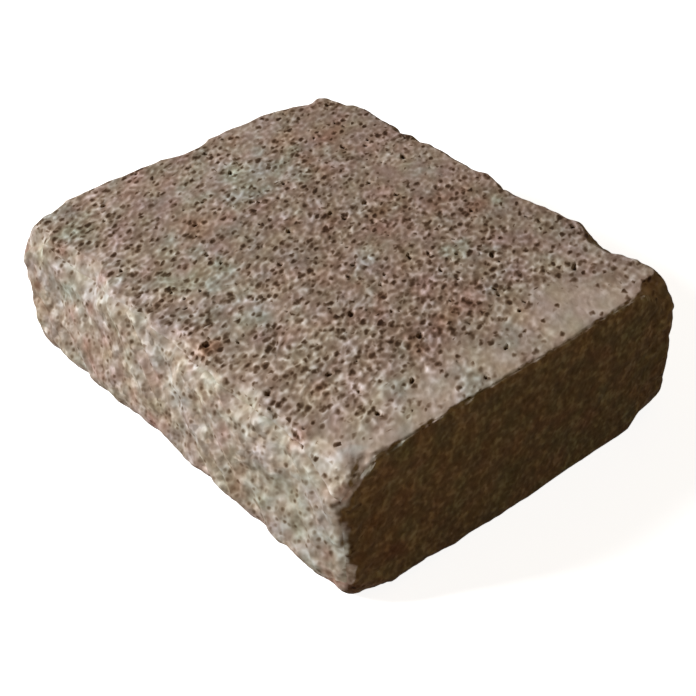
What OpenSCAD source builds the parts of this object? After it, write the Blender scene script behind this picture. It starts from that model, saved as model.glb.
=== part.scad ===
// Tumbled concrete wall block: one solid dry-cast unit with two flat beds,
// two long faces split from their neighbours and two short cast ends.
// Frame: X along the block's length, Y from the front split face to the back,
// Z up, origin at the middle of the footprint on the lower bed.

/* [Block] */
// Length along the split faces
block_length = 300; // [220:5:420]
// Depth from the front split face to the back split face
block_depth = 236; // [180:2:320]
// Height between the two beds
block_height = 90; // [70:1:150]

/* [Edges] */
// Radius of the four upright corners in plan
corner_radius = 9; // [6:1:20]
// Size of the worn arris round the upper bed
top_arris = 5; // [3:0.5:9]
// Size of the worn arris round the lower bed
bottom_arris = 3.5; // [3:0.5:8]

/* [Faces] */
// Depth of the hollows in the two long split faces
split_relief = 5; // [0:0.5:8]
// Depth of the hollows in the two short cast ends
cast_relief = 1.5; // [0:0.25:3]
// Length of the longest wave in a face's relief
relief_wave = 96; // [60:2:140]

/* [Chips] */
// How deep the knocked-off places are, as a share of their listed sizes
chip_strength = 1; // [0:0.05:1.2]

/* [Hidden] */

// Distance from the outline in to the rectangle from whose corners the
// stations fan out.
fan_reach = 40;
half_x = block_length / 2 - fan_reach;
half_y = block_depth / 2 - fan_reach;

// Stations round the block: steps along each straight run and each corner fan.
long_steps = 30;
short_steps = 22;
fan_steps = 9;

// Steps of the profile: down each arris and down the face between them.
arris_steps = 4;
face_steps = 9;

// Height of the stock that is trimmed off flat at each bed.
bed_stock = 1;

// Places knocked off round the upper bed: [x and y as shares of the half spans,
// half width, set back from the face, drop below the bed], the last three in mm.
top_chips = [
    [0.93, -1, 25, 10, 15],
    [1, 1, 30, 8, 18],
    [-1, -1, 36, 10, 20],
    [-1, 1, 34, 9, 12],
    [0.46, -1, 13, 8, 12],
    [0.70, -1, 13, 5, 9],
    [0.14, -1, 22, 4, 10],
    [-0.52, -1, 34, 6, 16],
    [0.20, 1, 24, 3, 8],
    [0.70, 1, 26, 9, 12],
    [-1, 0.76, 20, 4, 8],
    [-1, 0.02, 18, 5, 10],
];

// The same round the lower bed, with the last value its rise above the bed.
bottom_chips = [
    [1, -1, 30, 8, 14],
    [1, 1, 36, 6, 14],
    [-1, -1, 34, 5, 12],
    [-1, 1, 36, 8, 14],
    [0.80, -1, 34, 4, 9],
    [0.36, -1, 46, 5, 10],
    [-0.22, -1, 54, 5, 12],
    [-0.70, -1, 40, 3, 7],
    [0.25, 1, 40, 5, 9],
    [-1, 0.35, 30, 4, 8],
    [1, -0.62, 26, 3, 5],
];

// Distance from a corner of the inner rectangle to the block's outline, in the
// direction of an angle in the first quadrant.
function corner_reach(angle) =
    let (
        along = max(cos(angle), sin(angle)),
        across = min(cos(angle), sin(angle)),
        flat = fan_reach / along,
        centre = fan_reach - corner_radius,
        middle = centre * (along + across)
    )
    flat * across <= centre
        ? flat
        : middle + sqrt(middle * middle - 2 * centre * centre + corner_radius * corner_radius);

// One station: [anchor x, anchor y, direction x, direction y, reach, anchor's number].
function straight_station(ax, ay, angle, number) =
    [ax, ay, cos(angle), sin(angle), fan_reach, number];
function fan_station(ax, ay, quadrant, step, number) =
    let (turn = 90 * step / fan_steps, angle = 90 * quadrant + turn)
    [ax, ay, cos(angle), sin(angle), corner_reach(turn), number];

// All stations, anticlockwise seen from above, from the right-hand end's start.
// Each corner fan shares its anchor with the start of the next straight run.
anchor_count = 2 * (long_steps + short_steps);
stations = [
    for (i = [0 : short_steps - 1])
        straight_station(half_x, half_y * (2 * i / short_steps - 1), 0, i),
    for (i = [0 : fan_steps - 1]) fan_station(half_x, half_y, 0, i, short_steps),
    for (i = [0 : long_steps - 1])
        straight_station(half_x * (1 - 2 * i / long_steps), half_y, 90, short_steps + i),
    for (i = [0 : fan_steps - 1])
        fan_station(-half_x, half_y, 1, i, short_steps + long_steps),
    for (i = [0 : short_steps - 1])
        straight_station(-half_x, half_y * (1 - 2 * i / short_steps), 180,
            short_steps + long_steps + i),
    for (i = [0 : fan_steps - 1])
        fan_station(-half_x, -half_y, 2, i, 2 * short_steps + long_steps),
    for (i = [0 : long_steps - 1])
        straight_station(half_x * (2 * i / long_steps - 1), -half_y, 270,
            2 * short_steps + long_steps + i),
    for (i = [0 : fan_steps - 1]) fan_station(half_x, -half_y, 3, i, 0),
];
// The anchors alone, in the order of their numbers.
anchors = [
    for (s = [0 : len(stations) - 1])
        if (s == 0 || stations[s][5] != stations[s - 1][5] && stations[s][5] != 0)
            [stations[s][0], stations[s][1]],
];

// How strongly a chip acts at a plan point: 1 at its middle, 0 at its half width.
function chip_share(chip, x, y) =
    let (
        dx = x - chip[0] * block_length / 2,
        dy = y - chip[1] * block_depth / 2,
        near = 1 - (dx * dx + dy * dy) / (chip[2] * chip[2])
    )
    near > 0 ? near * chip_strength : 0;

function total(values, i = 0) = i < len(values) ? values[i] + total(values, i + 1) : 0;

// Size of an arris at a plan point: its own size plus what each chip adds in
// the given column of its row.
function arris_size(base, chips, column, x, y) =
    base + total([for (chip = chips) chip[column] * chip_share(chip, x, y)]);

// Lumps and hollows from 0 to 1 over the whole surface: three sizes of wave,
// bent by one another so that none repeats evenly.
function relief_wave_at(x, y, z) =
    let (
        turn = 360 / relief_wave,
        along = turn * (x + 0.7 * y),
        run = along + 70 * sin(0.61 * along + 0.9 * turn * z + 20),
        rise = turn * z + 60 * sin(1.37 * along + 160),
        large = sin(run + 40 + 30 * sin(rise)),
        middle = sin(1.9 * run + 1.3 * rise + 110) * cos(1.6 * rise - 0.7 * run + 30),
        small = sin(3.1 * run - 2.3 * rise + 200) * cos(2.9 * rise + 1.7 * run + 70)
    )
    0.5 + (large + 0.8 * middle + 0.4 * small) / 4.4;

// How far a face lies behind its nominal plane at a point of a station.
function face_hollow(station, x, y, z) =
    (split_relief * pow(station[3], 2) + cast_relief * pow(station[2], 2))
        * relief_wave_at(x, y, z);

// A point of a station's profile, at a distance in from the outline.
function profile_point(station, inset, z) =
    let (
        x = station[0] + station[2] * station[4],
        y = station[1] + station[3] * station[4],
        reach = station[4] - inset - face_hollow(station, x, y, z)
    )
    [station[0] + station[2] * reach, station[1] + station[3] * reach, z];

// The worn arris turns from the bed (share 0) to the face (share 1), half way
// between a quarter round and a straight cut.
function arris_in(share) = 1 - (share + sin(90 * share)) / 2;
function arris_down(share) = (share + 1 - cos(90 * share)) / 2;

// A station's profile, from just below the lower bed to just above the upper.
function profile(station) =
    let (
        x = station[0] + station[2] * station[4],
        y = station[1] + station[3] * station[4],
        low_in = arris_size(bottom_arris, bottom_chips, 3, x, y),
        low_up = arris_size(bottom_arris, bottom_chips, 4, x, y),
        high_in = arris_size(top_arris, top_chips, 3, x, y),
        high_down = arris_size(top_arris, top_chips, 4, x, y),
        face_high = block_height - high_down
    )
    [
        profile_point(station, low_in, -bed_stock),
        for (i = [1 : arris_steps - 1])
            profile_point(station, low_in * arris_in(i / arris_steps),
                low_up * arris_down(i / arris_steps)),
        for (i = [0 : face_steps])
            profile_point(station, 0, low_up + (face_high - low_up) * i / face_steps),
        for (i = [arris_steps - 1 : -1 : 1])
            profile_point(station, high_in * arris_in(i / arris_steps),
                block_height - high_down * arris_down(i / arris_steps)),
        profile_point(station, high_in, block_height + bed_stock),
    ];

// The block before its beds are trimmed: the skin round the sides, and a cover
// over each bed made of a band out to the skin and a fan from the middle.
module untrimmed_block() {
    count = len(stations);
    rings = 2 * arris_steps + face_steps + 1;
    low = count * rings;
    high = low + anchor_count;
    low_middle = high + anchor_count;
    high_middle = low_middle + 1;
    points = [
        for (station = stations) each profile(station),
        for (anchor = anchors) [anchor[0], anchor[1], -bed_stock],
        for (anchor = anchors) [anchor[0], anchor[1], block_height + bed_stock],
        [0, 0, -bed_stock],
        [0, 0, block_height + bed_stock],
    ];
    skin = [
        for (s = [0 : count - 1], r = [0 : rings - 2])
            let (here = s * rings + r, next = ((s + 1) % count) * rings + r)
            each [[here, here + 1, next + 1], [here, next + 1, next]],
    ];
    covers = [
        for (s = [0 : count - 1])
            let (
                n = (s + 1) % count,
                a = stations[s][5],
                b = stations[n][5],
                top = rings - 1
            )
            each concat(
                [[s * rings, n * rings, low + a], [n * rings + top, s * rings + top, high + a]],
                a == b ? [] : [
                    [n * rings, low + b, low + a],
                    [low + b, low_middle, low + a],
                    [high + b, n * rings + top, high + a],
                    [high_middle, high + b, high + a],
                ]
            ),
    ];
    polyhedron(points, concat(skin, covers));
}

module block() {
    color([0.53, 0.46, 0.40]) intersection() {
        untrimmed_block();
        translate([-block_length, -block_depth, 0])
            cube([2 * block_length, 2 * block_depth, block_height]);
    }
}

block();
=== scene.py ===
"""Tumbled concrete wall block: the visual model of one solid dry-cast unit.

Frame: X runs along the block's length, Y from the front split face to the back
split face, Z up, with the origin at the middle of the footprint on the lower
bed. The block is worked out in millimetres and put into the mesh in metres.
"""

import itertools
import logging
import math
from collections.abc import Iterator
from dataclasses import dataclass, field
from enum import Enum
from typing import Any

import bpy
import numpy as np
from mathutils import Matrix, Vector


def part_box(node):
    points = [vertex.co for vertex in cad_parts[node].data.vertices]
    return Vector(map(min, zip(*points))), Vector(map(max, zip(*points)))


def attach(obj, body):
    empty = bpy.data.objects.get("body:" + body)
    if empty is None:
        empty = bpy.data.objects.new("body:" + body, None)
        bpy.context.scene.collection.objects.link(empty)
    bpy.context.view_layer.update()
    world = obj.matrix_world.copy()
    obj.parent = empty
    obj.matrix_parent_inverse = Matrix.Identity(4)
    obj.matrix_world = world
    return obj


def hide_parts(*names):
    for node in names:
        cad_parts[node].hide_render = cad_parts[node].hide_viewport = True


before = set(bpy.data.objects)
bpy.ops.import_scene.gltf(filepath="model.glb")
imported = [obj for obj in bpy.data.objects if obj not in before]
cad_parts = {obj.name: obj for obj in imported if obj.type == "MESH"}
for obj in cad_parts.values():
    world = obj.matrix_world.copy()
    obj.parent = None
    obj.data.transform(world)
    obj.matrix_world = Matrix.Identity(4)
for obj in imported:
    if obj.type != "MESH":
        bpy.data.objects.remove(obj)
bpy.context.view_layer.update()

log = logging.getLogger("wall_block")

Tree = bpy.types.NodeTree
# What may be linked to an input: a socket, or a node, which stands for its first output.
Source = bpy.types.Node | bpy.types.NodeSocket
# The block's attributes by name.
Shares = dict[str, Source]

# Settings that many nodes share.
ADD = {"operation": "ADD"}
SUBTRACT = {"operation": "SUBTRACT"}
MULTIPLY = {"operation": "MULTIPLY"}
MULTIPLY_ADD = {"operation": "MULTIPLY_ADD"}
POWER = {"operation": "POWER"}
MINIMUM = {"operation": "MINIMUM"}
MAXIMUM = {"operation": "MAXIMUM"}
COLOURS = {"data_type": "RGBA"}
VECTORS = {"data_type": "VECTOR"}
SMOOTH = {"interpolation_type": "SMOOTHSTEP"}

MM = 0.001
MOST_TRIANGLES = 196_000
# Corners of the space that chance grids fill, in millimetres: the block and a little more.
CHANCE_LOW = (-170.0, -140.0, -20.0)
CHANCE_HIGH = (170.0, 140.0, 110.0)
# How fast a patch fades: about one share in four is left at its radius.
PATCH_FADE = 1.3


@dataclass(frozen=True)
class Grain:
    """A line along which the mix was pressed and dragged, and how much longer its grain is that way."""

    line: tuple[float, float, float]
    stretch: float


BED_GRAIN = Grain((0.51, -0.64, 0.575), 3.2)
SPLIT_GRAIN = Grain((0.66, 0.0, 0.75), 1.9)


def linear(hex_colour: str) -> tuple[float, float, float, float]:
    """Turns an sRGB hex colour into the linear values that shaders take.

    Args:
        hex_colour: Six hex digits after a hash sign.

    Returns:
        Red, green and blue as linear values, and full opacity.
    """
    parts = [int(hex_colour[i : i + 2], 16) / 255 for i in (1, 3, 5)]
    low, high = [p / 12.92 for p in parts], [((p + 0.055) / 1.055) ** 2.4 for p in parts]
    red, green, blue = [a if p <= 0.04045 else b for p, a, b in zip(parts, low, high)]
    return red, green, blue, 1.0


def add_node(
    tree: Tree,
    kind: str,
    settings: dict[str, Any] | None = None,
    inputs: dict[str | int, Any] | None = None,
) -> bpy.types.Node:
    """Adds one node with its settings, its plain values and its links.

    Args:
        tree: Node tree that the node goes into.
        kind: The node's type, as Blender names it after ShaderNode.
        settings: Properties of the node itself.
        inputs: Plain value or Source for each input, by name or number.

    Returns:
        The new node.
    """
    node = tree.nodes.new(f"ShaderNode{kind}")
    for name, value in (settings or {}).items():
        setattr(node, name, value)
    for name, value in (inputs or {}).items():
        source = value.outputs[0] if isinstance(value, bpy.types.Node) else value
        if isinstance(source, bpy.types.NodeSocket):
            tree.links.new(source, node.inputs[name])
        else:
            node.inputs[name].default_value = source
    return node


class Bed(Enum):
    """The two flat faces that a course rests on."""

    LOWER = "lower"
    UPPER = "upper"


@dataclass(frozen=True)
class Chip:
    """A place knocked off an arris: where it is and how far it reaches.

    Its place is in shares of the half spans in plan; its sizes are millimetres.
    """

    along: float
    across: float
    half_width: float
    setback: float
    drop: float


class ChanceGrid:
    """Seeded chance values in cubic cells that fill the block and a little more."""

    def __init__(self, cell: float, seed: int, values: int = 1) -> None:
        """Fills the grid.

        Args:
            cell: Width of a cell in millimetres.
            seed: Seed of this grid's own draw.
            values: How many even values from 0 to 1 each cell holds.
        """
        self.cell = cell
        self.low = np.array(CHANCE_LOW)
        counts = np.ceil((np.array(CHANCE_HIGH) - self.low) / cell).astype(int) + 2
        self.last = counts - 2
        self.values = np.random.default_rng(seed).random((*counts, values), dtype=np.float32)

    def smooth(self, points: np.ndarray) -> np.ndarray:
        """Smooth noise: each cell corner's value, blended by a cubic ease along each axis.

        Args:
            points: Points in millimetres, one a row.

        Returns:
            Values from -1 to 1.
        """
        place = (points - self.low) / self.cell
        cell = np.clip(np.floor(place).astype(int), 0, self.last)
        share = np.clip(place - cell, 0, 1)
        ease = share * share * (3 - 2 * share)
        total = np.zeros(len(points))
        for corner in itertools.product((0, 1), repeat=3):
            weight = np.prod(np.where(corner, ease, 1 - ease), axis=1)
            total += weight * self.values[tuple((cell + corner).T)][:, 0]
        return 2 * total - 1

    def around(self, points: np.ndarray) -> Iterator[tuple[np.ndarray, np.ndarray]]:
        """Visits the 27 cells round each point.

        Args:
            points: Points in millimetres, one a row.

        Yields:
            For each of the 27 steps, the cells' low corners and their values.
        """
        cell = np.floor((points - self.low) / self.cell).astype(int)
        for step in itertools.product((-1, 0, 1), repeat=3):
            near = np.clip(cell + step, 0, self.last + 1)
            yield self.low + near * self.cell, self.values[tuple(near.T)]


def fractal(points: np.ndarray, size: float, seed: int, octaves: int = 3, gain: float = 0.5) -> np.ndarray:
    """Sum of smooth noises, each half the size and a share of the height of the last.

    Args:
        points: Points in millimetres, one a row.
        size: Size of the largest lumps in millimetres.
        seed: Seed of the first noise; the others follow it.
        octaves: How many noises are added.
        gain: Height of each noise as a share of the one before.

    Returns:
        Values from about -1 to 1.
    """
    heights = [gain**i for i in range(octaves)]
    layers = [h * ChanceGrid(size / 2**i, seed + i).smooth(points) for i, h in enumerate(heights)]
    return sum(layers) / sum(heights)


def along_grain(points: np.ndarray, grain: Grain = BED_GRAIN) -> np.ndarray:
    """Points drawn together along the grain's line, so that noise read there comes out stretched along it."""
    line = np.array(grain.line)
    return points - (1 - 1 / grain.stretch) * (points @ line)[:, None] * line


def ease(low: float, high: float, values: np.ndarray) -> np.ndarray:
    """Cubic step from 0 at low to 1 at high."""
    share = np.clip((values - low) / (high - low), 0, 1)
    return share * share * (3 - 2 * share)


@dataclass(frozen=True)
class Pores:
    """The larger open voids of dry-cast concrete, cut at chance depths by the faces."""

    cell: float = 7.0
    least_radius: float = 0.6
    radius_spread: float = 1.1
    most_stretch: float = 2.0
    most_depth: float = 2.0
    seed: int = 61

    def depth(self, points: np.ndarray, crowding: np.ndarray) -> tuple[np.ndarray, np.ndarray]:
        """Depth of the pores and how far inside one each point lies.

        Each cell may hold one stretched ball at a jittered place. Inside it the
        depth follows the ball's far wall: radius times the root of one less the
        squared share of the radius. Noise bends the balls first.

        Args:
            points: Points in millimetres, one a row.
            crowding: Share from 0 to 1 of cells that hold a pore, at each point.

        Returns:
            Depth in millimetres, and the share inside from 0 to 1.
        """
        pressed = along_grain(points)
        bends = [fractal(pressed, 3.0, self.seed + 10 * i, 2) for i in (1, 2, 3)]
        bent = pressed + 1.3 * np.stack(bends, axis=1)
        grid = ChanceGrid(self.cell, self.seed, values=9)
        depth = np.zeros(len(points))
        inside = np.zeros(len(points))
        for low, chance in grid.around(bent):
            away = bent - low - chance[:, :3] * self.cell
            radius = self.least_radius + self.radius_spread * chance[:, 3] ** 2
            course = chance[:, 4:7] - 0.5
            course /= np.linalg.norm(course, axis=1, keepdims=True) + 1e-6
            stretch = 1 + (self.most_stretch - 1) * chance[:, 7] ** 2
            along = np.einsum("ij,ij->i", away, course)
            square = np.einsum("ij,ij->i", away, away) - along**2 * (1 - 1 / stretch**2)
            share = np.clip(1 - square / radius**2, 0, 1) * (chance[:, 8] < crowding)
            depth = np.maximum(depth, 1.15 * radius * np.sqrt(share))
            inside = np.maximum(inside, share)
        return np.minimum(depth, self.most_depth), inside


@dataclass(frozen=True)
class Patch:
    """A tinted place on the block: its middle and radius in millimetres, and how strong it is."""

    x: float
    y: float
    z: float
    radius: float
    strength: float = 1.0

    def bell(self, points: np.ndarray) -> np.ndarray:
        """The patch's strength at each point: its own, fading as a bell from its middle."""
        square = ((points - [self.x, self.y, self.z]) ** 2).sum(axis=1) / self.radius**2
        return self.strength * np.exp(-PATCH_FADE * square)


class Tint(Enum):
    """Tones that lie over the concrete in patches, each with its own attribute."""

    RUST = "rust"
    GREY_GREEN = "grey_green"
    PINK = "pink"
    PALE = "pale"
    BLEACHED = "bleached"


def on_upper_bed(*rows: tuple[float, ...]) -> tuple[Patch, ...]:
    """Patches on the upper bed, each row an x, a y, a radius and maybe a strength."""
    return tuple(Patch(x, y, 90, *rest) for x, y, *rest in rows)


def on_front_face(*rows: tuple[float, ...]) -> tuple[Patch, ...]:
    """Patches on the front split face, each row an x, a height, a radius and maybe a strength."""
    return tuple(Patch(x, -118, z, *rest) for x, z, *rest in rows)


TINT_PATCHES: dict[Tint, tuple[Patch, ...]] = {
    Tint.RUST: (
        *on_upper_bed(
            (88, 28, 20, 0.7), (90, -4, 18, 0.7), (106, -22, 16, 0.8), (66, -20, 15, 0.7),
            (-80, 64, 20, 0.8), (0, 36, 18, 0.9), (12, 70, 18, 0.6), (-10, 4, 14, 0.6),
            (66, -62, 11, 0.8),
        ),
        *on_front_face(
            (-48, 48, 18, 0.4), (-84, 34, 20, 0.4), (4, 40, 14, 0.5), (48, 66, 12, 0.6),
        ),
        Patch(31, -108, 88, 12, 1.4), Patch(108, -106, 89, 13, 1.1), Patch(140, -116, 14, 14, 0.9),
        Patch(148, -110, 76, 8), Patch(-132, -116, 49, 10, 1.3), Patch(-104, -108, 88, 9, 0.9),
    ),
    Tint.GREY_GREEN: (
        *on_upper_bed(
            (-96, 8, 34, 1.1), (-64, -8, 16, 0.8), (-30, -71, 26, 1.5), (20, -74, 20, 0.9),
            (-44, 84, 18, 0.7), (126, 9, 11, 0.8), (112, -62, 14, 0.6), (-70, -98, 16, 0.6),
            (-106, -96, 14),
        ),
        *on_front_face(
            (108, 38, 34, 1.3), (80, 30, 24, 1.0), (134, 44, 28, 1.2), (-104, 72, 22, 0.9),
            (64, 44, 16, 0.7), (-30, 66, 12, 0.5),
        ),
        Patch(-20, -110, 84, 12, 0.6), Patch(-134, -95, 88, 16, 1.1), Patch(150, -96, 60, 22, 0.7),
    ),
    Tint.PINK: (
        *on_upper_bed(
            (-67, -34, 24), (-134, -44, 22, 0.8), (-108, 60, 26, 0.8), (60, -44, 16, 0.7),
            (-20, 84, 22, 0.7), (40, 20, 22, 0.6),
        ),
        *on_front_face(
            (-76, 36, 30, 0.9), (18, 68, 12, 0.5), (48, 58, 13, 0.9), (-30, 24, 26, 0.8),
            (62, 12, 18, 0.5), (-112, 30, 20, 0.8), (-10, 52, 18, 0.6),
        ),
        Patch(-146, -100, 76, 10, 0.9),
    ),
    Tint.PALE: (
        *on_front_face(
            (-68, 82, 12, 0.8), (42, 86, 7, 1.1), (121, 70, 20, 1.2), (78, 68, 12, 0.7),
            (18, 56, 18, 0.9), (-118, 62, 14, 0.7),
        ),
        Patch(-48, -117, 88, 13, 1.2), Patch(-88, -117, 88, 13, 1.2), Patch(-34, -117, 88, 8),
        Patch(55, -116, 87, 6, 1.1), Patch(70, -115, 88, 7), Patch(-8, -117, 86, 7, 0.9),
        Patch(120, -117, 88, 6, 1.3), Patch(128, -110, 88, 6, 1.2), Patch(132, -103, 89, 6, 1.2),
        Patch(137, -95, 89, 6, 1.1), Patch(92, -115, 87, 7, 0.8), Patch(148, -114, 40, 16, 1.0),
        Patch(-138, -112, 84, 9, 0.8), Patch(-130, -98, 88, 12, 0.8),
    ),
    Tint.BLEACHED: (
        *on_upper_bed(
            (142, 70, 18, 0.9), (142, 30, 16, 0.8), (140, -5, 16, 0.9), (140, -40, 20, 1.1),
            (130, -68, 26, 1.1), (136, -98, 20, 1.1), (100, -78, 26, 0.8), (60, -66, 28, 0.8),
            (20, -68, 24, 0.9), (-20, -78, 24, 1.0), (-50, -84, 22, 0.6), (-84, -96, 20, 0.6),
            (-112, 10, 28, 0.8), (-90, 22, 18, 0.6), (60, -95, 24, 0.6), (120, 20, 16, 0.6),
            (126, 50, 20, 1.3), (6, -96, 24, 0.5), (-130, -60, 20, 0.5),
        ),
    ),
}


# Places on the upper bed where the pores stand thicker, or thinner below zero.
POROUS_PATCHES: tuple[Patch, ...] = on_upper_bed(
    (80, 25, 34, 0.35), (70, -45, 34, 0.3), (100, -60, 26, 0.25), (96, 58, 18, 0.3),
    (90, -95, 30, 0.25), (0, -95, 30, 0.2), (-60, 5, 13, 0.4), (-10, 25, 24, 0.2),
    (-70, -85, 24, 0.15), (0, 52, 16, 0.2), (-96, 86, 30, -0.45), (-30, 86, 34, -0.4),
    (-122, 20, 34, -0.3), (-90, 20, 20, -0.2), (-112, -40, 26, -0.2), (-44, -36, 20, -0.3),
    (-80, -55, 20, -0.15), (22, -66, 14, -0.2), (-30, -71, 14, -0.4), (134, 60, 20, -0.3),
    (40, 92, 24, -0.2), (124, 50, 16, -0.7), (124, -62, 24, 0.25), (132, -30, 16, 0.15),
)


@dataclass
class WallBlock:
    """The one cast unit: flat beds, split long faces, cast ends and worn arrises.

    All sizes are millimetres.
    """

    length: float = 300.0
    depth: float = 236.0
    height: float = 90.0
    corner_radius: float = 9.0
    upper_arris: float = 5.0
    lower_arris: float = 3.5
    split_relief: float = 5.0
    cast_relief: float = 1.5
    relief_wave: float = 96.0
    fan_reach: float = 40.0
    spacing: float = 0.8
    upper_chips: tuple[Chip, ...] = (
        Chip(0.93, -1, 25, 10, 15), Chip(1, 1, 30, 8, 18), Chip(-1, -1, 36, 10, 20),
        Chip(-1, 1, 34, 9, 12), Chip(0.46, -1, 13, 8, 12), Chip(0.70, -1, 13, 5, 9),
        Chip(0.14, -1, 22, 4, 10), Chip(-0.52, -1, 34, 6, 16), Chip(0.20, 1, 24, 3, 8),
        Chip(0.70, 1, 26, 9, 12), Chip(-1, 0.76, 20, 4, 8), Chip(-1, 0.02, 18, 5, 10),
    )
    lower_chips: tuple[Chip, ...] = (
        Chip(1, -1, 30, 8, 14), Chip(1, 1, 36, 6, 14), Chip(-1, -1, 34, 5, 12),
        Chip(-1, 1, 36, 8, 14), Chip(0.80, -1, 34, 4, 9), Chip(0.36, -1, 46, 5, 10),
        Chip(-0.22, -1, 54, 5, 12), Chip(-0.70, -1, 40, 3, 7), Chip(0.25, 1, 40, 5, 9),
        Chip(-1, 0.35, 30, 4, 8), Chip(1, -0.62, 26, 3, 5),
    )
    pores: Pores = field(default_factory=Pores)

    def lattice(self) -> tuple[np.ndarray, np.ndarray]:
        """Even grid over the six sides of a plain box, with shared edges.

        Returns:
            Points on the box in millimetres, and the quads' corner numbers, wound
            so that they face outwards.
        """
        span = np.array([self.length, self.depth, self.height])
        counts = np.rint(span / self.spacing).astype(int)
        sides = []
        for axis in range(3):
            first, second = [a for a in range(3) if a != axis]
            i, j = np.meshgrid(np.arange(counts[first]), np.arange(counts[second]), indexing="ij")
            for end in (0, 1):
                corners = np.zeros((i.size, 4, 3), dtype=int)
                corners[:, :, axis] = end * counts[axis]
                corners[:, :, first] = i.reshape(-1, 1) + [0, 1, 1, 0]
                corners[:, :, second] = j.reshape(-1, 1) + [0, 0, 1, 1]
                outwards = (end == 1) != (axis == 1)
                sides.append(corners if outwards else corners[:, ::-1])
        corners = np.concatenate(sides)
        rows, layers = counts[1] + 1, counts[2] + 1
        numbers = (corners[..., 0] * rows + corners[..., 1]) * layers + corners[..., 2]
        kept, quads = np.unique(numbers, return_inverse=True)
        steps = np.stack([kept // (rows * layers), kept // layers % rows, kept % layers], axis=1)
        low = np.array([-self.length / 2, -self.depth / 2, 0])
        return low + steps / counts * span, quads.reshape(-1, 4)

    def corner_reach(self, course: np.ndarray) -> np.ndarray:
        """Distance from a corner of the inner rectangle to the rounded outline.

        Args:
            course: Unit directions in plan, one a row.

        Returns:
            Distance in millimetres along each direction.
        """
        along, across = np.abs(course).max(axis=1), np.abs(course).min(axis=1)
        flat = self.fan_reach / along
        centre = self.fan_reach - self.corner_radius
        middle = centre * (along + across)
        square = middle**2 - 2 * centre**2 + self.corner_radius**2
        return np.where(flat * across <= centre, flat, middle + np.sqrt(np.maximum(square, 0)))

    def relief_wave_at(self, points: np.ndarray) -> np.ndarray:
        """Lumps and hollows from 0 to 1, in three sizes of wave that bend one another."""
        turn = 2 * math.pi / self.relief_wave
        turns = np.radians
        along = turn * (points[:, 0] + 0.7 * points[:, 1])
        height = turn * points[:, 2]
        run = along + turns(70) * np.sin(0.61 * along + 0.9 * height + turns(20))
        rise = height + turns(60) * np.sin(1.37 * along + turns(160))
        large = np.sin(run + turns(40) + turns(30) * np.sin(rise))
        middle = np.sin(1.9 * run + 1.3 * rise + turns(110)) * np.cos(1.6 * rise - 0.7 * run + turns(30))
        small = np.sin(3.1 * run - 2.3 * rise + turns(200)) * np.cos(2.9 * rise + 1.7 * run + turns(70))
        return 0.5 + (large + 0.8 * middle + 0.4 * small) / 4.4

    def arris_sizes(self, outline: np.ndarray, bed: Bed) -> tuple[np.ndarray, np.ndarray]:
        """How far the worn arris reaches over the bed and down the face.

        Its own size, less on the right-hand cast end and varied by noise, plus
        what each chip adds: the chip's size times one less the squared share of
        its half width.

        Args:
            outline: Points of the outline in plan, one a row.
            bed: Which bed the arris goes round.

        Returns:
            Reach over the bed and down the face, in millimetres.
        """
        upper = bed is Bed.UPPER
        own = self.upper_arris if upper else self.lower_arris
        place = np.column_stack([outline, np.full(len(outline), self.height if upper else 0.0)])
        side = self.split_side(outline)
        keen_end = ease(self.length / 2 - 24, self.length / 2 - 8, outline[:, 0]) * (
            1 - ease(self.depth / 2 - 50, self.depth / 2 - 12, np.abs(outline[:, 1]))
        )
        spread = 0.2 + (0.25 if upper else 0.0) * side
        wear = 1 - 0.55 * keen_end + spread * fractal(place, 11.0, 31 if upper else 37, 2)
        over, down = own * wear, own * wear
        for chip in self.upper_chips if upper else self.lower_chips:
            middle = np.array([chip.along * self.length / 2, chip.across * self.depth / 2])
            share = np.clip(1 - ((outline - middle) ** 2).sum(axis=1) / chip.half_width**2, 0, 1)
            over, down = over + chip.setback * share, down + chip.drop * share
        return over, down

    def mould(self, points: np.ndarray) -> tuple[np.ndarray, dict[str, np.ndarray]]:
        """Turns points of the plain box into the worn block's larger form.

        Each point lies on a ray that fans out from an inner rectangle. The ray
        ends at the rounded outline, less the hollow of its face. Near a bed the
        point follows the arris, half way between a quarter round and a straight
        cut, by its share of the way from the bed to the face.

        Args:
            points: Points of the box in millimetres, one a row.

        Returns:
            The moved points, and for each point its shares: of a split face, of
            a cast end, of a bed and of an arris.
        """
        inner = np.array([self.length / 2 - self.fan_reach, self.depth / 2 - self.fan_reach])
        plan, height = points[:, :2], points[:, 2]
        anchor = np.clip(plan, -inner, inner)
        away = plan - anchor
        reach_in = np.linalg.norm(away, axis=1, keepdims=True)
        course = np.where(reach_in > 1e-9, away / np.maximum(reach_in, 1e-9), [1.0, 0.0])
        reach = self.corner_reach(course)
        radial = np.abs(away).max(axis=1) / self.fan_reach * reach
        outline = anchor + course * reach[:, None]
        upper = height > self.height / 2
        high_in, high_down = self.arris_sizes(outline, Bed.UPPER)
        low_in, low_up = self.arris_sizes(outline, Bed.LOWER)
        arris_over, arris_down = np.where(upper, high_in, low_in), np.where(upper, high_down, low_up)
        from_bed = np.where(upper, self.height - height, height)
        on_bed = from_bed < 1e-9
        over = 0.5 * np.clip(1 - (reach - radial) / arris_over, 0, 1)
        down = 0.5 + 0.5 * np.clip(from_bed / arris_down, 0, 1)
        share = np.where(on_bed, over, down)
        quarter = share * math.pi / 2
        inset = arris_over * (1 - (share + np.sin(quarter)) / 2)
        drop = np.where(share < 1, arris_down * (share + 1 - np.cos(quarter)) / 2, from_bed)
        flat = on_bed & (share <= 0)
        z = np.where(upper, self.height - drop, drop)
        deepest = self.split_relief * course[:, 1] ** 2 + self.cast_relief * course[:, 0] ** 2
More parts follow.
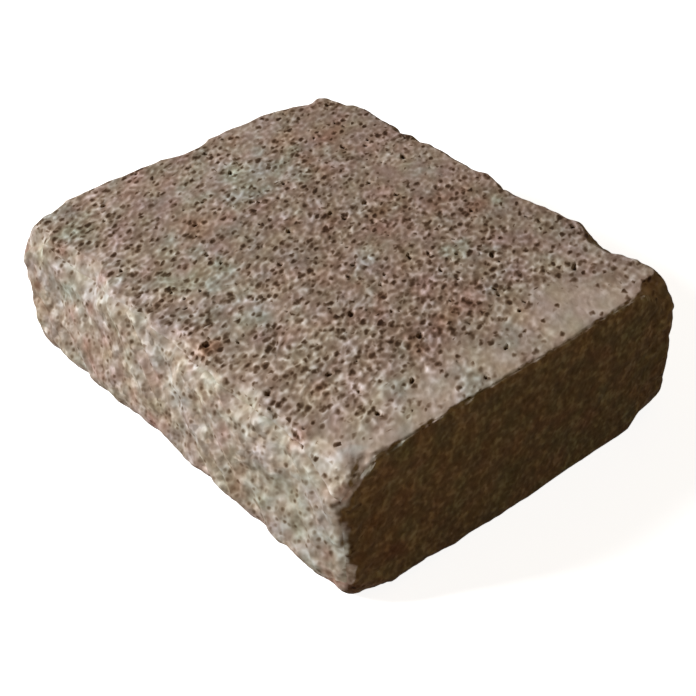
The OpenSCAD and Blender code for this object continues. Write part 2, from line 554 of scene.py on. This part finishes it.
        hollow = deepest * self.relief_wave_at(np.column_stack([outline, z]))
        fade = np.where(flat, np.clip(radial / (reach - arris_over), 0, 1), 1.0)
        out = np.where(flat, radial, reach - inset) - hollow * fade
        moved = np.column_stack([anchor + course * out[:, None], z])
        shares = {
            "split": course[:, 1] ** 2 * share,
            "cast": course[:, 0] ** 2 * share,
            "bed": 1 - share,
            "arris": 4 * share * (1 - share),
        }
        return moved, shares

    def smooth_strip(self, points: np.ndarray) -> np.ndarray:
        """Share from 0 to 1 that a point lies on the bed's smooth strip by the right-hand end."""
        return ease(self.length / 2 - 54, self.length / 2 - 8, points[:, 0] - 0.1 * points[:, 1])

    def crowding(
        self, points: np.ndarray, shares: dict[str, np.ndarray], tones: dict[str, np.ndarray]
    ) -> np.ndarray:
        """How thick the pores stand, from 0 to 1.

        Dense in the middle of a bed and where rust shows, sparse on its smooth
        strip by the right-hand end and in pale patches, none on the sides, and
        patchy all over. A patch fades as a bell from its middle.

        Args:
            points: Points of the moulded block, one a row.
            shares: Each point's shares, as mould gives them.
            tones: Each point's tints.

        Returns:
            Share of cells that hold a pore.
        """
        patches = 0.45 * fractal(points, 15.0, 95, 2)
        for patch in POROUS_PATCHES:
            patches += patch.bell(points)
        stained = 0.3 * tones[Tint.RUST.value] - 0.25 * tones[Tint.PALE.value]
        bed = np.clip(0.66 - 0.5 * self.smooth_strip(points) + patches + stained, 0.04, 1)
        flat = shares["bed"] ** 2 * (1 - shares["arris"])
        edge = (0.06 + 1.3 * tones[Tint.RUST.value]) * shares["arris"] * shares["bed"]
        return np.clip(flat * bed + edge, 0, 1)

    def roughen(
        self, points: np.ndarray, shares: dict[str, np.ndarray], crowding: np.ndarray
    ) -> tuple[np.ndarray, np.ndarray]:
        """Fine relief along the surface's own direction, in millimetres.

        Split faces have soft lumps and grain, calmer towards the lower bed;
        cast ends and beds have shallow grain; upright corners are crumbly;
        arrises are nibbled away, most on the split sides and the right-hand
        end; pores go in.

        Args:
            points: Points of the moulded block, one a row.
            shares: Each point's shares, as mould gives them.
            crowding: How thick the pores stand at each point.

        Returns:
            Height outwards, and the share inside a pore.
        """
        split, cast, bed, arris = (shares[name] for name in ("split", "cast", "bed", "arris"))
        grain = fractal(along_grain(points), 3.2, 51, 2)
        height = cast * 0.06 * grain + bed * (0.07 * grain - 0.07) + arris * (0.2 * grain - 0.1)
        broken = np.flatnonzero((split + arris > 0.02) | (points[:, 2] > self.height - 8))
        near = points[broken]
        drawn = along_grain(near, SPLIT_GRAIN)
        bent = drawn + 1.5 * np.stack([fractal(drawn, 7.0, 40 + 3 * i, 2) for i in range(3)], axis=1)
        lumps = 0.8 * fractal(bent, 15.0, 71, 2) + 0.5 * fractal(bent, 5.5, 75, 2)
        high = 0.4 + 0.6 * ease(2.0, 26.0, near[:, 2])
        height[broken] += split[broken] * (high * lumps - 0.2 + 0.15 * fractal(drawn, 2.6, 51, 2))
        nibbled = np.minimum(0.8 * fractal(near, 6.0, 89, 2), 0)
        height[broken] += high * arris[broken] * (0.5 + 0.5 * self.split_side(near)) * nibbled
        rim = arris[broken] + cast[broken] * ease(self.height - 7, self.height - 2, near[:, 2])
        keen = np.clip(rim, 0, 1) * ease(self.length / 2 - 24, self.length / 2 - 8, near[:, 0]) * high
        height[broken] += keen * np.minimum(1.7 * fractal(near, 5.0, 93, 2), 0)
        corner = 4 * split * cast / np.maximum(split + cast, 0.05)
        height[broken] += (high * corner[broken]) * (1.3 * fractal(near, 6.0, 97, 2) - 0.3)
        pitted = np.flatnonzero(crowding > 0.02)
        inside = np.zeros(len(points))
        depth, inside[pitted] = self.pores.depth(points[pitted], crowding[pitted])
        height[pitted] -= depth
        return height, inside

    def split_side(self, points: np.ndarray) -> np.ndarray:
        """Share from 0 to 1 that a point belongs to a long split side, by how near that side is."""
        return ease(self.depth / 2 - 24, self.depth / 2 - 12, np.abs(points[:, 1]))

    def tints(self, points: np.ndarray) -> dict[str, np.ndarray]:
        """Strength of each tint at each point.

        A patch fades as a bell from its middle, one share in four left at its
        radius, and noise bends it; a slow noise adds more of each tint all over,
        least of the pale one.

        Args:
            points: Points of the moulded block, one a row.

        Returns:
            For each tint, its strength from 0 to 1.
        """
        bent = points + 9 * np.stack([fractal(points, 16.0, 131 + 7 * i, 2) for i in range(3)], axis=1)
        tones = {}
        for number, (tint, patches) in enumerate(TINT_PATCHES.items()):
            most = 0.15 if tint is Tint.PALE else 0.5
            strength = most * ease(0.1, 0.6, fractal(points, 38.0, 151 + 11 * number, 2))
            for patch in patches:
                strength = np.maximum(strength, patch.bell(bent))
            tones[tint.value] = np.clip(strength, 0, 1)
        return tones

    @staticmethod
    def outward(points: np.ndarray, quads: np.ndarray) -> np.ndarray:
        """Unit direction outwards at each point: the mean of its quads' normals by area."""
        first, second, third, fourth = (points[quads[:, k]] for k in range(4))
        across = np.repeat(np.cross(third - first, fourth - second), 4, axis=0)
        total = np.stack([np.bincount(quads.ravel(), across[:, k], len(points)) for k in range(3)], axis=1)
        return total / np.linalg.norm(total, axis=1, keepdims=True)

    def build(self) -> bpy.types.Object:
        """Makes the block's object: moulded, roughened and thinned to its limit.

        Returns:
            The finished object, with one attribute for each share.
        """
        box, quads = self.lattice()
        moved, shares = self.mould(box)
        tones = self.tints(moved)
        strip = self.smooth_strip(moved) * shares["bed"]
        bleaching = 0.7 * shares["cast"] + 0.5 * shares["arris"] + 0.45 * strip
        tones[Tint.BLEACHED.value] = np.clip(tones[Tint.BLEACHED.value] + bleaching, 0, 1)
        tones[Tint.GREY_GREEN.value] = np.maximum(tones[Tint.GREY_GREEN.value], 0.7 * shares["cast"])
        crowding = self.crowding(moved, shares, tones)
        height, inside = self.roughen(moved, shares, crowding)
        points = (moved + self.outward(moved, quads) * height[:, None]) * MM
        low, high = (np.array(corner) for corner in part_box("block"))
        points = np.clip(points, low, high)
        dense = bpy.data.meshes.new("block_dense")
        dense.from_pydata(points, [], quads)
        # The share inside a mesh pore goes to the material, which uses it to paint shade into the hollow.
        layers = {**shares, **tones, "pore": inside, "crowding": crowding}
        for name, values in layers.items():
            layer = dense.attributes.new(name, "FLOAT", "POINT")
            layer.data.foreach_set("value", values.astype(np.float32))
        piece = bpy.data.objects.new("concrete_block", dense)
        bpy.context.scene.collection.objects.link(piece)
        thin = piece.modifiers.new("thin", "DECIMATE")
        thin.ratio = MOST_TRIANGLES / (2 * len(quads))
        thin.use_collapse_triangulate = True
        bpy.context.view_layer.update()
        graph = bpy.context.evaluated_depsgraph_get()
        finished = bpy.data.meshes.new_from_object(piece.evaluated_get(graph), depsgraph=graph)
        thinned = np.zeros(3 * len(finished.vertices), dtype=np.float32)
        finished.vertices.foreach_get("co", thinned)
        finished.vertices.foreach_set("co", np.clip(thinned.reshape(-1, 3), low, high).ravel())
        piece.modifiers.clear()
        piece.data = finished
        finished.name = "concrete_block"
        bpy.data.meshes.remove(dense)
        finished.shade_smooth()
        return piece


@dataclass(frozen=True)
class PoreSize:
    """One size of small pore: cell and radius in millimetres, how much shade is painted into the deep ones,
    how rare they are, and how strong a highlight is painted round them.
    """

    cell: float
    radius: float
    painted_shade: float
    rarity: float
    # How strongly a highlight is painted on the paste round a deep pore.
    rim: float


@dataclass(frozen=True)
class DryCastConcrete:
    """Dry-cast concrete, tumbled: earth-dry mix pressed in a mould, then split and tumbled.

    To the eye it is dull and sandy, with dark open pores on its cast faces and
    pale, mottled aggregate where it has split. The pores' darkness is shade
    painted into the colour, and it turns browner as it deepens: green falls as a
    power of red, and blue as a higher one, down to the floor that is left in the
    deepest pore.
    """

    paste: str = "#8d786a"
    bleached: str = "#b09f90"
    split: str = "#aca193"
    worn: str = "#b6b1a5"
    # How fast green and blue fall as sand and painted pore shade darken the colour.
    warmth: tuple[float, float] = (1.2, 1.42)
    speckle: tuple[float, float, float] = (0.24, 0.16, 0.28)
    # Share of light left where shade is painted into the deepest pore.
    painted_pore_shade_floor: float = 0.07
    tints: tuple[tuple[Tint, str, float], ...] = (
        (Tint.GREY_GREEN, "#999587", 0.88),
        (Tint.PINK, "#9b8070", 0.7),
        (Tint.PALE, "#b5b3a8", 0.8),
        (Tint.RUST, "#8b6b58", 0.75),
    )
    aggregate: tuple[tuple[float, str], ...] = (
        (0.1, "#8a7f70"),
        (0.35, "#a29788"),
        (0.55, "#b0a596"),
        (0.75, "#bcb1a2"),
        (0.95, "#cec3b3"),
    )
    # Small pores that are only painted: shade inside each, a highlight round it.
    pore_sizes: tuple[PoreSize, ...] = (
        PoreSize(4.4, 1.35, 4.4, 2.2, 0.4), PoreSize(3.8, 1.08, 3.4, 0.8, 0.2),
    )
    specks: PoreSize = PoreSize(3.2, 1.0, 1.6, 1.4, 0.1)
    roughness: float = 0.92

    def drawn(self, tree: Tree, place: Source, grain: Grain) -> Source:
        """Coordinates drawn together along a grain, as along_grain does.

        Args:
            tree: Node tree of the material.
            place: Coordinates in metres.
            grain: Line and stretch of the grain.

        Returns:
            The drawn coordinates.
        """
        along = add_node(tree, "VectorMath", {"operation": "DOT_PRODUCT"}, {0: place, 1: grain.line})
        draw = add_node(tree, "Math", MULTIPLY, {0: along.outputs["Value"], 1: 1 / grain.stretch - 1})
        moved = add_node(tree, "VectorMath", {"operation": "SCALE"}, {0: grain.line, "Scale": draw})
        return add_node(tree, "VectorMath", ADD, {0: place, 1: moved})

    def coordinates(self, tree: Tree, place: Source, shares: Shares) -> tuple[Source, Source]:
        """Coordinates that follow each face: drawn along its own grain, and plain on a cast end.

        Args:
            tree: Node tree of the material.
            place: Coordinates in metres.
            shares: The block's attributes by name.

        Returns:
            The drawn coordinates, and the same bent by noise, less on a split face.
        """
        on_split, on_cast = (
            add_node(tree, "Math", {"operation": "GREATER_THAN"}, {0: shares[name], 1: 0.5})
            for name in ("split", "cast")
        )
        bed, split = (self.drawn(tree, place, grain) for grain in (BED_GRAIN, SPLIT_GRAIN))
        grain = add_node(tree, "Mix", VECTORS, {0: on_split, 4: bed, 5: split}).outputs[1]
        grain = add_node(tree, "Mix", VECTORS, {0: on_cast, 4: grain, 5: place}).outputs[1]
        sway = add_node(tree, "TexNoise", {}, {"Vector": grain, "Scale": 1 / (3.0 * MM), "Detail": 1.0})
        centred = add_node(tree, "VectorMath", SUBTRACT, {0: sway.outputs["Color"], 1: (0.5, 0.5, 0.5)})
        bending = add_node(tree, "Math", MULTIPLY_ADD, {0: on_split, 1: -1.7 * MM, 2: 2.8 * MM})
        return grain, add_node(tree, "VectorMath", MULTIPLY_ADD, {0: centred, 1: bending, 2: grain})

    def tinted(self, tree: Tree, grain: Source, shares: Shares, ground: Source) -> Source:
        """Lays each tint over the ground, broken up by noise of 13 mm.

        Args:
            tree: Node tree of the material.
            grain: Coordinates drawn along the grain.
            shares: The block's attributes by name.
            ground: The colour below.

        Returns:
            The tinted colour.
        """
        for tint, colour, most in self.tints:
            broken = add_node(
                tree,
                "TexNoise",
                {"noise_dimensions": "4D"},
                {"Vector": grain, "W": 3.1 * most, "Scale": 1 / (13 * MM), "Detail": 1.5, "Roughness": 0.5},
            )
            reach = add_node(tree, "Math", MULTIPLY_ADD, {0: shares[tint.value], 1: 0.4, 2: broken})
            share = add_node(tree, "MapRange", SMOOTH, {0: reach, 1: 0.58, 2: 0.95, 3: 0.0, 4: most})
            ground = add_node(tree, "Mix", COLOURS, {0: share, 6: ground, 7: linear(colour)}).outputs[2]
        return ground

    def ground(self, tree: Tree, grain: Source, bent: Source, shares: Shares) -> Source:
        """Colour before wear and pores: paste on cast faces, mottled stones on split ones.

        Args:
            tree: Node tree of the material.
            grain: Coordinates drawn along the grain.
            bent: The same, bent by noise.
            shares: The block's attributes by name.

        Returns:
            The colour with its tints.
        """
        stones = add_node(
            tree,
            "TexVoronoi",
            {"feature": "SMOOTH_F1"},
            {"Vector": bent, "Scale": 1 / (3.0 * MM), "Smoothness": 0.5},
        )
        chance = add_node(tree, "SeparateColor", {}, {0: stones.outputs["Color"]})
        palette = add_node(tree, "ValToRGB", {}, {0: chance})
        stops = palette.color_ramp.elements
        for number, (start, colour) in enumerate(self.aggregate):
            stop = stops[number] if number < 2 else stops.new(start)
            stop.position, stop.color = start, linear(colour)
        paste, bleached, split = (linear(colour) for colour in (self.paste, self.bleached, self.split))
        stony = add_node(tree, "Mix", COLOURS, {0: 0.75, 6: split, 7: palette}).outputs[2]
        skin = add_node(
            tree, "Mix", COLOURS, {0: shares[Tint.BLEACHED.value], 6: paste, 7: bleached}
        ).outputs[2]
        cast = add_node(tree, "Mix", COLOURS, {0: 0.2, 6: skin, 7: palette}).outputs[2]
        mixed = add_node(tree, "Mix", COLOURS, {0: shares["split"], 6: cast, 7: stony}).outputs[2]
        return self.tinted(tree, grain, shares, mixed)

    def tone(self, tree: Tree, grain: Source, bent: Source, shares: Shares) -> Source:
        """Swing of lightness round zero: sand, slow lumps, and clods on split and cast faces.

        Args:
            tree: Node tree of the material.
            grain: Coordinates drawn along the grain.
            bent: The same, bent by noise.
            shares: The block's attributes by name.

        Returns:
            The swing, below zero where the surface is darker.
        """
        # Sand is 0.5 to 2 mm wide. It is drawn at 2.8 mm, as coarse as it needs to be to show.
        sand = add_node(tree, "TexNoise", {}, {"Vector": grain, "Scale": 1 / (2.8 * MM), "Detail": 0.0})
        lumps = add_node(
            tree, "TexNoise", {}, {"Vector": grain, "Scale": 1 / (9.0 * MM), "Detail": 1.0, "Roughness": 0.5}
        )
        clods = add_node(
            tree, "TexNoise", {}, {"Vector": bent, "Scale": 1 / (4.2 * MM), "Detail": 0.8, "Roughness": 0.6}
        )
        sandiness = 0.15
        for name, most in (("crowding", 3.0), ("bed", 0.4), ("arris", 0.4), ("cast", 1.4)):
            sandiness = add_node(tree, "Math", MULTIPLY_ADD, {0: shares[name], 1: most, 2: sandiness})
        swing = add_node(tree, "Math", SUBTRACT, {0: sand, 1: 0.5})
        slow_swing = add_node(tree, "Math", MULTIPLY_ADD, {0: lumps, 1: 0.6, 2: -0.3})
        clod_swing = add_node(tree, "Math", MULTIPLY_ADD, {0: clods, 1: 2.1, 2: -1.09})
        cloddy = add_node(tree, "Math", MULTIPLY_ADD, {0: shares["cast"], 1: 1.2, 2: shares["split"]})
        slow_swing = add_node(tree, "Math", MULTIPLY_ADD, {0: clod_swing, 1: cloddy, 2: slow_swing})
        return add_node(tree, "Math", MULTIPLY_ADD, {0: swing, 1: sandiness, 2: slow_swing})

    def worn_arrises(self, tree: Tree, place: Source, shares: Shares, ground: Source) -> Source:
        """Lays pale wear over the arrises, broken up by noise of 9 mm.

        Args:
            tree: Node tree of the material.
            place: Coordinates in metres.
            shares: The block's attributes by name.
            ground: The colour below.

        Returns:
            The worn colour.
        """
        broken = add_node(
            tree, "TexNoise", {}, {"Vector": place, "Scale": 1 / (9 * MM), "Detail": 3.0, "Roughness": 0.6}
        )
        reach = add_node(tree, "Math", MULTIPLY, {0: broken, 1: shares["arris"]})
        wear = add_node(tree, "MapRange", SMOOTH, {0: reach, 1: 0.38, 2: 0.66, 3: 0.0, 4: 0.5})
        return add_node(tree, "Mix", COLOURS, {0: wear, 6: ground, 7: linear(self.worn)}).outputs[2]

    def small_pores(
        self, tree: Tree, bent: Source, crowding: Source, size: PoreSize
    ) -> tuple[Source, Source]:
        """Small open pores drawn only in the colour, one round the centre of a cell, most of them faint and a
        few deep: shade is painted into each, and a highlight on the paste round it.

        Args:
            tree: Node tree of the material.
            bent: Bent coordinates in metres.
            crowding: Share of cells that hold a pore.
            size: How large, how deep and how far apart they are.

        Returns:
            The shade painted into a pore, and the highlight painted on the paste round it.
        """
        cells = add_node(
            tree, "TexVoronoi", {}, {"Vector": bent, "Scale": 1 / (size.cell * MM), "Randomness": 0.85}
        )
        chance = add_node(tree, "SeparateColor", {}, {0: cells.outputs["Color"]})
        held = add_node(tree, "Math", {"operation": "LESS_THAN"}, {0: chance, 1: crowding})
        rarity = add_node(tree, "Math", POWER, {0: chance.outputs[2], 1: size.rarity})
        deep = add_node(tree, "Math", MULTIPLY, {0: rarity, 1: held})
        away = cells.outputs["Distance"]
        inner, outer = (
            add_node(tree, "MapRange", SMOOTH, {0: away, 1: 0.0, 2: reach, 3: 1.0, 4: 0.0})
            for reach in (1.75 * size.radius / size.cell, 2.6 * size.radius / size.cell)
        )
        left = add_node(tree, "Math", SUBTRACT, {0: 1.0, 1: inner})
        painted_highlight_ring = add_node(tree, "Math", MULTIPLY, {0: outer, 1: left})
        # Shade painted inside the pore, and a highlight painted on the ring of paste round it.
        painted_shade = add_node(tree, "Math", MULTIPLY, {0: deep, 1: size.painted_shade})
        painted_highlight = add_node(tree, "Math", MULTIPLY, {0: deep, 1: size.rim})
        dark = add_node(tree, "Math", MULTIPLY, {0: painted_shade, 1: inner})
        return dark, add_node(tree, "Math", MULTIPLY, {0: painted_highlight, 1: painted_highlight_ring})

    def pitting(self, tree: Tree, bent: Source, shares: Shares) -> list[tuple[Source, Source]]:
        """Every size of small pore: crowded on the beds, and specks where the face is broken.

        Args:
            tree: Node tree of the material.
            bent: Bent coordinates in metres.
            shares: The block's attributes by name.

        Returns:
            For each size, the shade painted into its pores and the highlight painted on the paste round them.
        """
        crowded = add_node(tree, "Math", MULTIPLY, {0: shares["crowding"], 1: 1.12})
        broken = add_node(tree, "Math", MAXIMUM, {0: shares["split"], 1: shares["arris"]})
        specked = add_node(tree, "Math", MULTIPLY, {0: broken, 1: 0.95})
        pitted = [self.small_pores(tree, bent, crowded, size) for size in self.pore_sizes]
        return [*pitted, self.small_pores(tree, bent, specked, self.specks)]

    def light(
        self, tree: Tree, shares: Shares, tone: Source, pitted: list[tuple[Source, Source]]
    ) -> Source:
        """Share of light that comes back: less from dark sand and from the shade painted into the pores, and
        browner as it falls.

        Args:
            tree: Node tree of the material.
            shares: The block's attributes by name.
            tone: Swing of lightness round zero.
            pitted: Painted shade and painted highlight of each size of small pore.

        Returns:
            Red, green and blue shares.
        """
        raised = 1.0
        brighter = add_node(tree, "Math", MAXIMUM, {0: tone, 1: 0.0})
        # The highlights painted round the small pores raise the colour, together with the bright sand.
        for part in (brighter, *(pale for _, pale in pitted)):
            raised = add_node(tree, "Math", ADD, {0: part, 1: raised})
        thinning = add_node(tree, "Math", MINIMUM, {0: tone, 1: 0.0})
        depth = add_node(tree, "Math", MULTIPLY_ADD, {0: shares["split"], 1: 0.35, 2: 0.56})
        thinning = add_node(tree, "Math", MULTIPLY, {0: thinning, 1: depth})
        # Shade painted into the small pores darkens the colour along with the dark sand.
        for dark, _ in pitted:
            thinning = add_node(tree, "Math", SUBTRACT, {0: thinning, 1: dark})
        left = add_node(tree, "Math", {"operation": "EXPONENT"}, {0: thinning})
        sand_and_painted_small_pore_shade = add_node(tree, "Math", SUBTRACT, {0: 1.0, 1: left})
        # Shade painted over the mesh pores' hollows, by the share inside a pore.
        deep = add_node(tree, "MapRange", SMOOTH, {0: shares["pore"], 1: 0.0, 2: 0.8})
        sand_and_painted_pore_shade = add_node(tree, "Math", MAXIMUM, {0: sand_and_painted_small_pore_shade, 1: deep})
        lit = add_node(tree, "Math", MULTIPLY_ADD, {0: sand_and_painted_pore_shade, 1: self.painted_pore_shade_floor - 1, 2: 1.0})
        lit = add_node(tree, "Math", MULTIPLY, {0: lit, 1: raised})
        green, blue = (add_node(tree, "Math", POWER, {0: lit, 1: power}) for power in self.warmth)
        return add_node(tree, "CombineColor", {}, {0: lit, 1: green, 2: blue})

    def hue(self, tree: Tree, grain: Source) -> Source:
        """Slow drift of each colour of the mix round one, by noise of 13 mm.

        Args:
            tree: Node tree of the material.
            grain: Coordinates drawn along the grain.

        Returns:
            Factors for red, green and blue.
        """
        drift = add_node(
            tree, "TexNoise", {}, {"Vector": grain, "Scale": 1 / (13 * MM), "Detail": 0.6, "Roughness": 0.5}
        ).outputs["Color"]
        least = tuple(1 - most / 2 for most in self.speckle)
        return add_node(tree, "VectorMath", MULTIPLY_ADD, {0: drift, 1: self.speckle, 2: least})

    def relief(self, tree: Tree, bent: Source, shares: Shares, tone: Source) -> Source:
        """Bump from tone and grit, faded out along the seam where the coordinates switch.

        Args:
            tree: Node tree of the material.
            bent: Bent coordinates in metres.
            shares: The block's attributes by name.
            tone: Swing of lightness round zero.

        Returns:
            The bumped normal.
        """
        grit = add_node(
            tree, "TexNoise", {}, {"Vector": bent, "Scale": 1 / (2.4 * MM), "Detail": 0.5, "Roughness": 0.5}
        )
        height = add_node(tree, "Math", MULTIPLY_ADD, {0: tone, 1: 0.9, 2: grit})
        side = add_node(tree, "Math", MAXIMUM, {0: shares["split"], 1: shares["cast"]})
        from_seam = add_node(tree, "Math", SUBTRACT, {0: side, 1: 0.5})
        squared = add_node(tree, "Math", MULTIPLY, {0: from_seam, 1: from_seam})
        off_seam = add_node(tree, "Math", {**MULTIPLY, "use_clamp": True}, {0: squared, 1: 60.0})
        height = add_node(tree, "Math", MULTIPLY, {0: height, 1: off_seam})
        return add_node(tree, "Bump", {}, {"Height": height, "Strength": 0.27, "Distance": 0.8 * MM})

    def material(self) -> bpy.types.Material:
        """Builds the node tree.

        Returns:
            The material.
        """
        material = bpy.data.materials.new("dry_cast_concrete_tumbled")
        material.use_nodes = True
        tree = material.node_tree
        tree.nodes.clear()
        place = add_node(tree, "TexCoord").outputs["Object"]
        names = ("split", "cast", "bed", "arris", "pore", "crowding", *(tint.value for tint in Tint))
        shares = {
            name: add_node(tree, "Attribute", {"attribute_name": name}).outputs["Fac"] for name in names
        }
        grain, bent = self.coordinates(tree, place, shares)
        ground = self.ground(tree, grain, bent, shares)
        worn = self.worn_arrises(tree, place, shares, ground)
        tone = self.tone(tree, grain, bent, shares)
        light = self.light(tree, shares, tone, self.pitting(tree, bent, shares))
        lit_hue = add_node(tree, "VectorMath", MULTIPLY, {0: light, 1: self.hue(tree, grain)})
        colour = add_node(tree, "Mix", {**COLOURS, "blend_type": "MULTIPLY"}, {0: 1.0, 6: worn, 7: lit_hue})
        finish = {
            "Base Color": colour.outputs[2],
            "Roughness": self.roughness,
            "Normal": self.relief(tree, bent, shares, tone),
            "Specular IOR Level": 0.1,
        }
        shader = add_node(tree, "BsdfPrincipled", {}, finish)
        add_node(tree, "OutputMaterial", {}, {"Surface": shader})
        return material


@dataclass
class Studio:
    """Pale floor, soft light from the front left and the camera."""

    focal_length: float = 72.3
    azimuth: float = 52.79
    elevation: float = 37.52
    roll: float = -3.88
    distance: float = 838.0
    target: tuple[float, float, float] = (-14.4, 17.9, 0.0)

    def camera(self) -> None:
        """Sets the camera by its azimuth, elevation, roll, target and distance."""
        turn, lift, roll = (math.radians(a) for a in (self.azimuth, self.elevation, self.roll))
        back = Vector((math.sin(turn) * math.cos(lift), -math.cos(turn) * math.cos(lift), math.sin(lift)))
        level = Vector((math.cos(turn), math.sin(turn), 0.0))
        upright = back.cross(level)
        right = level * math.cos(roll) + upright * math.sin(roll)
        up = upright * math.cos(roll) - level * math.sin(roll)
        camera = bpy.data.objects.new("camera", bpy.data.cameras.new("camera"))
        camera.data.lens = self.focal_length
        camera.data.clip_start = 0.01
        camera.matrix_world = Matrix.Translation((Vector(self.target) + back * self.distance) * MM) @ Matrix(
            (right, up, back)
        ).transposed().to_4x4()
        bpy.context.scene.collection.objects.link(camera)
        bpy.context.scene.camera = camera

    def lamp(
        self, name: str, place: tuple[float, float, float], size: float, power: float, colour: str
    ) -> None:
        """Adds a soft square lamp that faces the block.

        Args:
            name: Name of the lamp.
            place: Where it stands, in metres.
            size: Width of the square, in metres.
            power: Power in watts.
            colour: Hex colour of its light.
        """
        data = bpy.data.lights.new(name, "AREA")
        data.size, data.energy, data.color = size, power, linear(colour)[:3]
        lamp = bpy.data.objects.new(name, data)
        lamp.location = place
        lamp.rotation_euler = (Vector((0, 0, 0.045)) - Vector(place)).to_track_quat("-Z", "Y").to_euler()
        bpy.context.scene.collection.objects.link(lamp)

    def white_where_seen(self, tree: Tree) -> Source:
        """Share that is 1 where a camera, glossy or transmission ray sees the surface."""
        path = add_node(tree, "LightPath").outputs
        first = add_node(tree, "Math", MAXIMUM, {0: path["Is Camera Ray"], 1: path["Is Glossy Ray"]})
        return add_node(tree, "Math", MAXIMUM, {0: first, 1: path["Is Transmission Ray"]})

    def floor(self) -> bpy.types.Object:
        """Lays the floor, white to the eye and warm and dim to the block.

        Returns:
            The floor.
        """
        mesh = bpy.data.meshes.new("floor")
        mesh.from_pydata([(x, y, 0) for x, y in ((-9, -9), (9, -9), (9, 9), (-9, 9))], [], [(0, 1, 2, 3)])
        floor = bpy.data.objects.new("floor", mesh)
        bpy.context.scene.collection.objects.link(floor)
        material = bpy.data.materials.new("floor_painted_white")
        material.use_nodes = True
        tree = material.node_tree
        tree.nodes.clear()
        dull = add_node(tree, "BsdfDiffuse", {}, {"Color": linear("#6b4c2e")})
        pale = add_node(tree, "BsdfDiffuse", {}, {"Color": linear("#d8d8d8")})
        glow = add_node(tree, "Emission", {}, {"Color": linear("#ffffff"), "Strength": 0.9})
        lit = add_node(tree, "AddShader", {}, {0: pale, 1: glow})
        seen = self.white_where_seen(tree)
        mixed = add_node(tree, "MixShader", {}, {0: seen, 1: dull, 2: lit})
        add_node(tree, "OutputMaterial", {}, {"Surface": mixed})
        mesh.materials.append(material)
        return floor

    def world(self) -> None:
        """Fills the surroundings: white to the eye, a low warm light to the block."""
        world = bpy.data.worlds.new("studio")
        bpy.context.scene.world = world
        world.use_nodes = True
        tree = world.node_tree
        tree.nodes.clear()
        dim = add_node(tree, "Background", {}, {"Color": linear("#e3bd79"), "Strength": 0.17})
        white = add_node(tree, "Background", {}, {"Color": linear("#ffffff"), "Strength": 1.0})
        seen = self.white_where_seen(tree)
        mixed = add_node(tree, "MixShader", {}, {0: seen, 1: dim, 2: white})
        add_node(tree, "OutputWorld", {}, {"Surface": mixed})

    def build(self) -> bpy.types.Object:
        """Sets up the whole studio.

        Returns:
            The floor.
        """
        bpy.context.scene.view_settings.view_transform = "Standard"
        self.camera()
        self.lamp("key", (-1.1, -1.9, 1.5), 0.6, 89.0, "#fafbff")
        self.world()
        return self.floor()


def main() -> None:
    """Builds the studio and the block, and says what rides on what."""
    logging.basicConfig(level=logging.INFO, format="%(name)s: %(message)s")
    floor = Studio().build()
    block = WallBlock().build()
    block.data.materials.clear()
    block.data.materials.append(DryCastConcrete().material())
    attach(block, "root")
    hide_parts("block")
    log.info("%s: %d triangles", block.name, len(block.data.polygons))


if __name__ == "__main__":
    main()
